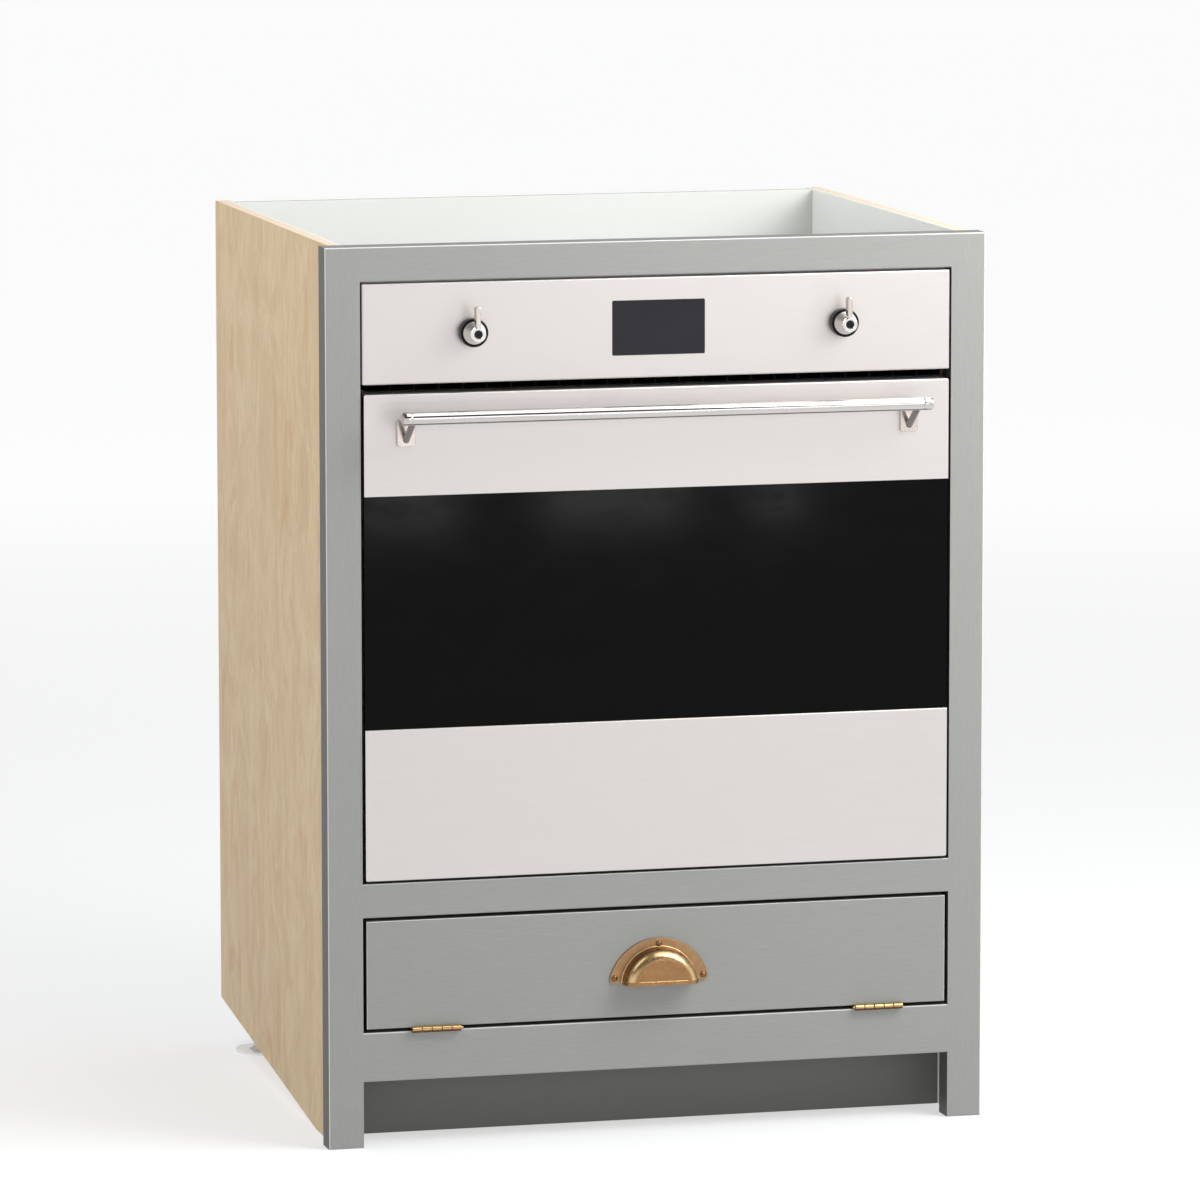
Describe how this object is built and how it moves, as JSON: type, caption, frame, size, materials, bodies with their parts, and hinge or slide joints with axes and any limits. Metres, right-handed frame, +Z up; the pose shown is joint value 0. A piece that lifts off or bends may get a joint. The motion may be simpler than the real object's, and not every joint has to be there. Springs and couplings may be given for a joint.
{
  "type": "in-frame oven base cabinet",
  "caption": "Painted in-frame base cabinet on plywood sides with a built-in single oven behind a drop-down door, and a bottom-hinged flap with a brass cup pull below.",
  "frame": {"origin": "centre of the bounding box on the floor, at the height the cabinet stands on", "axes": "+Z up; the front with the oven door faces -Y; +X is to the right as seen from the front"},
  "size_m": [0.67, 0.608, 0.89],
  "materials": {
    "birch_veneer": "clear-lacquered birch plywood",
    "white_board": "white-faced board",
    "pale_board": "birch plywood",
    "softwood": "planed softwood",
    "painted_wood": "grey-green satin paint",
    "plinth_wood": "grey-green satin paint",
    "aged_brass": "aged, rubbed on the shoulders",
    "bright_brass": "polished",
    "front_steel": "brushed along its width",
    "bright_steel": "polished",
    "zinc_steel": "galvanised sheet",
    "flange_steel": "black enamel",
    "enamel": "dark vitreous enamel",
    "element_steel": "dark oxidised sheath",
    "motor_steel": "grey",
    "fan_aluminium": "plain",
    "wire_chrome": "bright plated wire",
    "black_glass": "gloss black",
    "inner_glass": "clear, heat-reflecting",
    "lamp_glass": "ribbed clear",
    "display_glass": "smoked",
    "black_gloss": "gloss black",
    "black_matte": "matt black",
    "grey_plastic": "pale grey",
    "ivory_plastic": "matt",
    "mineral_wool": "mineral wool",
    "seal_rubber": "woven and silicone gasket"
  },
  "bodies": {
    "cabinet": {"side_panel_left": "birch_veneer", "side_panel_right": "birch_veneer", "back_panel": "white_board", "base_panel": "pale_board", "oven_shelf": "pale_board", "shelf_battens": "softwood", "fixing_battens": "softwood", "stile_left": "painted_wood", "stile_right": "painted_wood", "top_rail": "painted_wood", "middle_rail": "painted_wood", "bottom_rail": "painted_wood", "plinth": "plinth_wood", "leg_columns": "black_matte", "magnetic_catch": "ivory_plastic", "frame_hinge_leaves": "bright_brass", "hinge_pins": "bright_brass", "oven_case_left": "zinc_steel", "oven_case_right": "zinc_steel", "oven_case_top": "zinc_steel", "oven_case_base": "zinc_steel", "oven_case_back": "zinc_steel", "insulation_slabs": "mineral_wool", "cavity_liner": "enamel", "oven_front_frame": "flange_steel", "door_seal": "seal_rubber", "rack_runners": "wire_chrome", "wire_rack": "wire_chrome", "fan_cover": "enamel", "fan_motor": "motor_steel", "heating_elements": "element_steel", "lamp_lens": "lamp_glass", "control_fascia": "front_steel", "control_tray": "zinc_steel", "clock_module": "black_matte", "display_window": "display_glass", "knob_collars": "black_gloss", "switch_bodies": "ivory_plastic", "vent_grille": "black_matte", "mains_inlet": "black_matte", "oven_screws": "zinc_steel", "door_hinge_arms": "flange_steel"},
    "foot_left": {"foot_left": "grey_plastic"},
    "foot_right": {"foot_right": "grey_plastic"},
    "flap": {"flap_panel": "painted_wood", "flap_hinge_leaves": "bright_brass", "cup_pull": "aged_brass", "pull_screws": "aged_brass", "catch_strike": "zinc_steel"},
    "fan": {"fan_impeller": "fan_aluminium"},
    "function_knob": {"knob_left": "bright_steel"},
    "thermostat_knob": {"knob_right": "bright_steel"},
    "oven_door": {"door_band_upper": "front_steel", "door_band_lower": "front_steel", "door_glass_outer": "black_glass", "door_inner_frame": "flange_steel", "door_glass_inner": "inner_glass", "door_hinge_channels": "zinc_steel", "handle_bar": "bright_steel", "handle_fittings": "bright_steel"}
  },
  "joints": [
    {"name": "oven_door_hinge", "type": "hinge", "parent": "cabinet", "child": "oven_door", "pos_m": [0, -0.2485, 0.286], "axis": [1, 0, 0], "range_deg": [0, 90]},
    {"name": "flap_hinge", "type": "hinge", "parent": "cabinet", "child": "flap", "pos_m": [0, -0.2593, 0.11675], "axis": [1, 0, 0], "range_deg": [0, 140]},
    {"name": "function_knob_turn", "type": "hinge", "parent": "cabinet", "child": "function_knob", "pos_m": [-0.188, -0.256, 0.8045], "axis": [0, 1, 0], "continuous": true},
    {"name": "thermostat_knob_turn", "type": "hinge", "parent": "cabinet", "child": "thermostat_knob", "pos_m": [0.188, -0.256, 0.8045], "axis": [0, 1, 0], "range_deg": [0, 285]},
    {"name": "fan_spin", "type": "hinge", "parent": "cabinet", "child": "fan", "pos_m": [0, 0.1545, 0.51], "axis": [0, 1, 0], "continuous": true},
    {"name": "left_foot_thread", "type": "slide", "parent": "cabinet", "child": "foot_left", "axis": [0, 0, -1], "range_m": [-0.005, 0.015]},
    {"name": "right_foot_thread", "type": "slide", "parent": "cabinet", "child": "foot_right", "axis": [0, 0, -1], "range_m": [-0.005, 0.015]}
  ]
}
